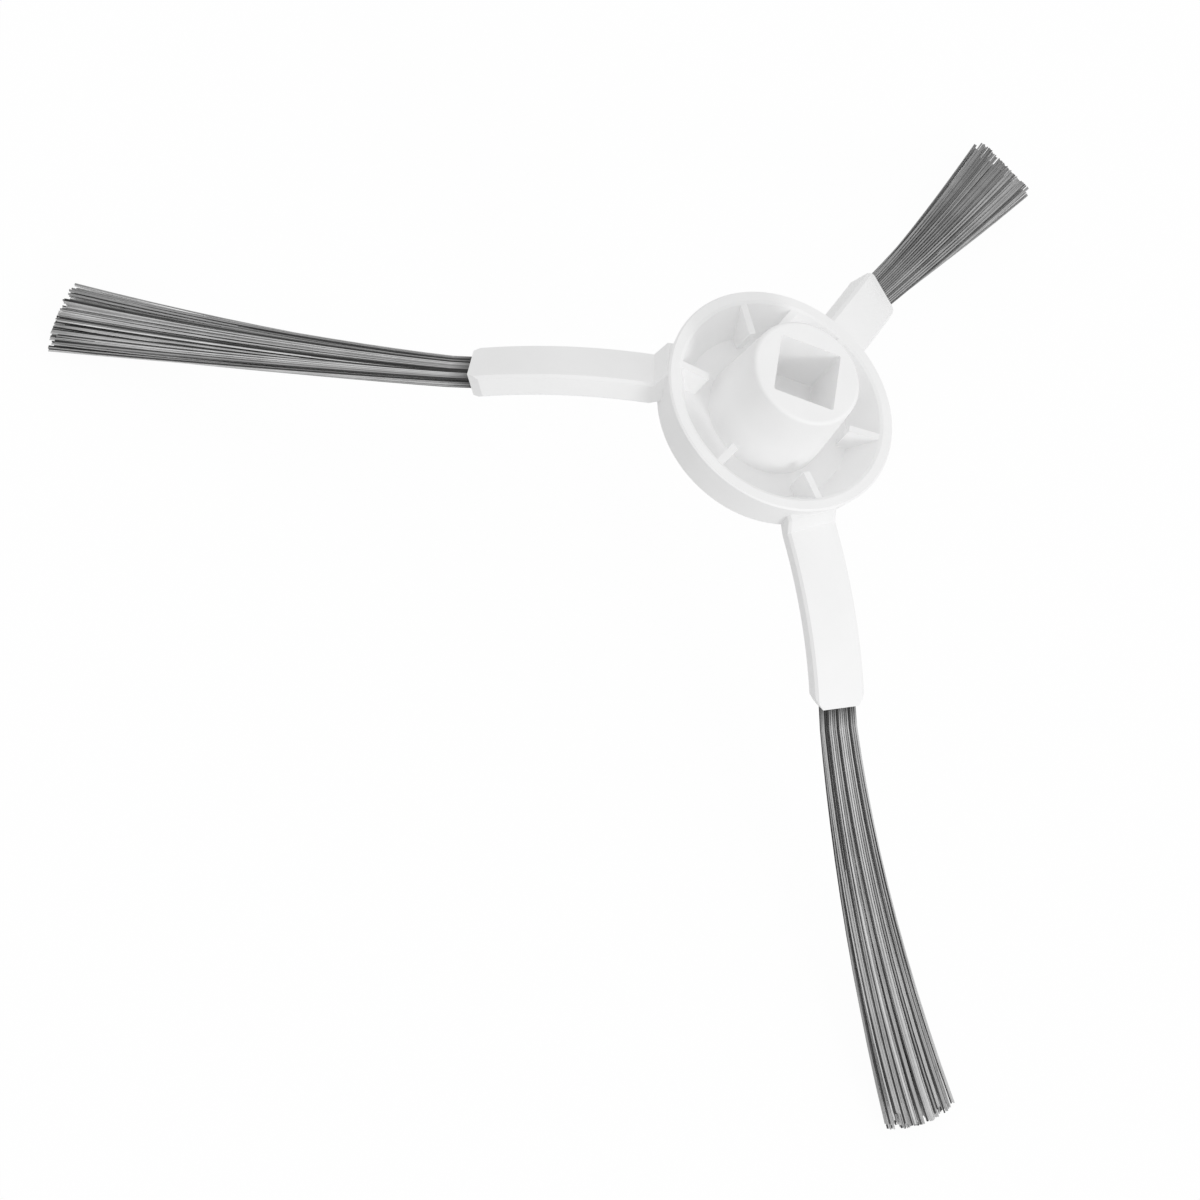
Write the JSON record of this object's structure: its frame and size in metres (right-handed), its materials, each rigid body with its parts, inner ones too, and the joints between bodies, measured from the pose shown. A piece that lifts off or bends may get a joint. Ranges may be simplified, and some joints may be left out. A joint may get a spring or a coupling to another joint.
{
  "type": "robot vacuum side brush",
  "caption": "Side brush for a robot vacuum: a round dished hub with a square drive socket and drooping arms, each ending in a fanned tuft of bristles.",
  "frame": {"origin": "on the drive axis, at the mouth of the square drive socket", "axes": "+Z along the drive axis towards the robot, +X and +Y square to the socket's sides, the first arm near +X"},
  "size_m": [0.129, 0.1455, 0.0408],
  "materials": {
    "hub_plastic": "satin white moulded plastic",
    "bristle_nylon": "fine grey nylon filaments with light and dark streaks"
  },
  "bodies": {
    "root": {"hub": "hub_plastic", "bristle_tuft_1": "bristle_nylon", "bristle_tuft_2": "bristle_nylon", "bristle_tuft_3": "bristle_nylon"}
  },
  "joints": []
}
